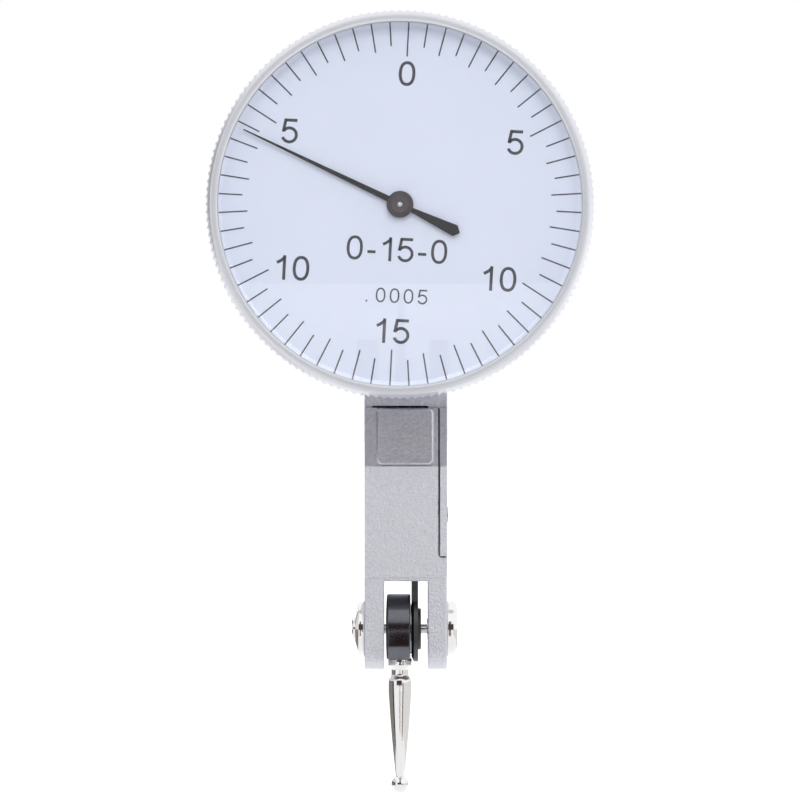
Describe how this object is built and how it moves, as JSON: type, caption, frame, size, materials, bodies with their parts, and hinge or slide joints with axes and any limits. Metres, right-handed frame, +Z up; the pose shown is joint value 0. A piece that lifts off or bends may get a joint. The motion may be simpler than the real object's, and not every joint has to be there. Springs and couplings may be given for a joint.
{
  "type": "dial test indicator",
  "caption": "Lever dial test indicator: slim cast body with a round dial, a jewelled gear train and a swivelling ball stylus in a fork.",
  "frame": {"origin": "centre of the rear dovetail's flat face, on the axis of the hand", "axes": "+X to the right of the dial, +Y from the dial towards the back, +Z up, away from the stylus"},
  "size_m": [0.04, 0.0178, 0.081],
  "materials": {
    "satin_casting": "grainy satin silver die casting",
    "plated_screw": "plated steel",
    "case_metal": "turned aluminium",
    "spring_steel": "spring steel",
    "jewel": "polished synthetic ruby",
    "movement_brass": "fine-turned brass",
    "bright_chrome": "mirror polished",
    "bezel_metal": "satin plated, finely serrated rim",
    "clear_crystal": "clear acrylic",
    "dial_white": "printed bluish-white dial",
    "black_lever": "blackened steel",
    "polished_steel": "polished steel",
    "black_drum": "smooth black finish",
    "hand_black": "matt black enamel",
    "boss_bronze": "blackened brass"
  },
  "bodies": {
    "housing": {"main_housing": "satin_casting", "side_cover": "satin_casting", "cover_screws": "plated_screw", "dial_case": "case_metal", "case_screws": "plated_screw", "bezel_spring": "spring_steel", "front_arbor_jewel": "jewel", "rear_arbor_jewel": "jewel", "arbor_end_stone": "jewel", "centre_bridge": "movement_brass", "centre_bridge_screw": "plated_screw", "train_bridge": "movement_brass", "train_bridge_screws": "plated_screw", "train_jewel_left": "jewel", "train_jewel_right": "jewel", "stop_pins": "spring_steel", "hairspring_stud": "movement_brass", "hairspring": "spring_steel", "bearing_screw_left": "bright_chrome", "bearing_screw_right": "bright_chrome", "spindle_jewel_left": "jewel", "spindle_jewel_right": "jewel"},
    "bezel": {"bezel_ring": "bezel_metal", "crystal": "clear_crystal", "dial_plate": "dial_white", "dial_retaining_ring": "case_metal"},
    "lever": {"sector_lever": "black_lever", "lever_spindle": "polished_steel", "spindle_collar": "black_lever", "friction_washer": "spring_steel"},
    "stylus": {"stylus_holder": "black_drum", "stylus_stem": "bright_chrome", "contact_ball": "bright_chrome"},
    "train": {"train_arbor": "polished_steel", "train_pinion": "polished_steel", "crown_wheel": "movement_brass"},
    "hand": {"centre_arbor": "polished_steel", "centre_pinion": "polished_steel", "hand": "hand_black", "hand_boss": "boss_bronze", "hairspring_collet": "movement_brass"}
  },
  "joints": [
    {"name": "bezel_turn", "type": "hinge", "parent": "housing", "child": "bezel", "pos_m": [0, -0.0148, 0], "axis": [0, 1, 0], "continuous": true},
    {"name": "lever_swing", "type": "hinge", "parent": "housing", "child": "lever", "pos_m": [0, -0.0066, -0.0439], "axis": [1, 0, 0], "range_deg": [-1.35, 1.35], "stiffness_Nm_per_rad": 0.14},
    {"name": "stylus_swivel", "type": "hinge", "parent": "lever", "child": "stylus", "pos_m": [0, -0.0066, -0.0439], "axis": [1, 0, 0], "range_deg": [-120, 120]},
    {"name": "train_turn", "type": "hinge", "parent": "housing", "child": "train", "pos_m": [0, -0.0066, 0], "axis": [1, 0, 0], "range_deg": [-38.75, 38.75]},
    {"name": "hand_turn", "type": "hinge", "parent": "housing", "child": "hand", "pos_m": [0, -0.0151, 0], "axis": [0, 1, 0], "range_deg": [-181.32, 181.32]}
  ],
  "couplings": [
    {"joint": "train_turn", "follows": "lever_swing", "ratio": -28.333},
    {"joint": "hand_turn", "follows": "lever_swing", "ratio": 133.57}
  ]
}
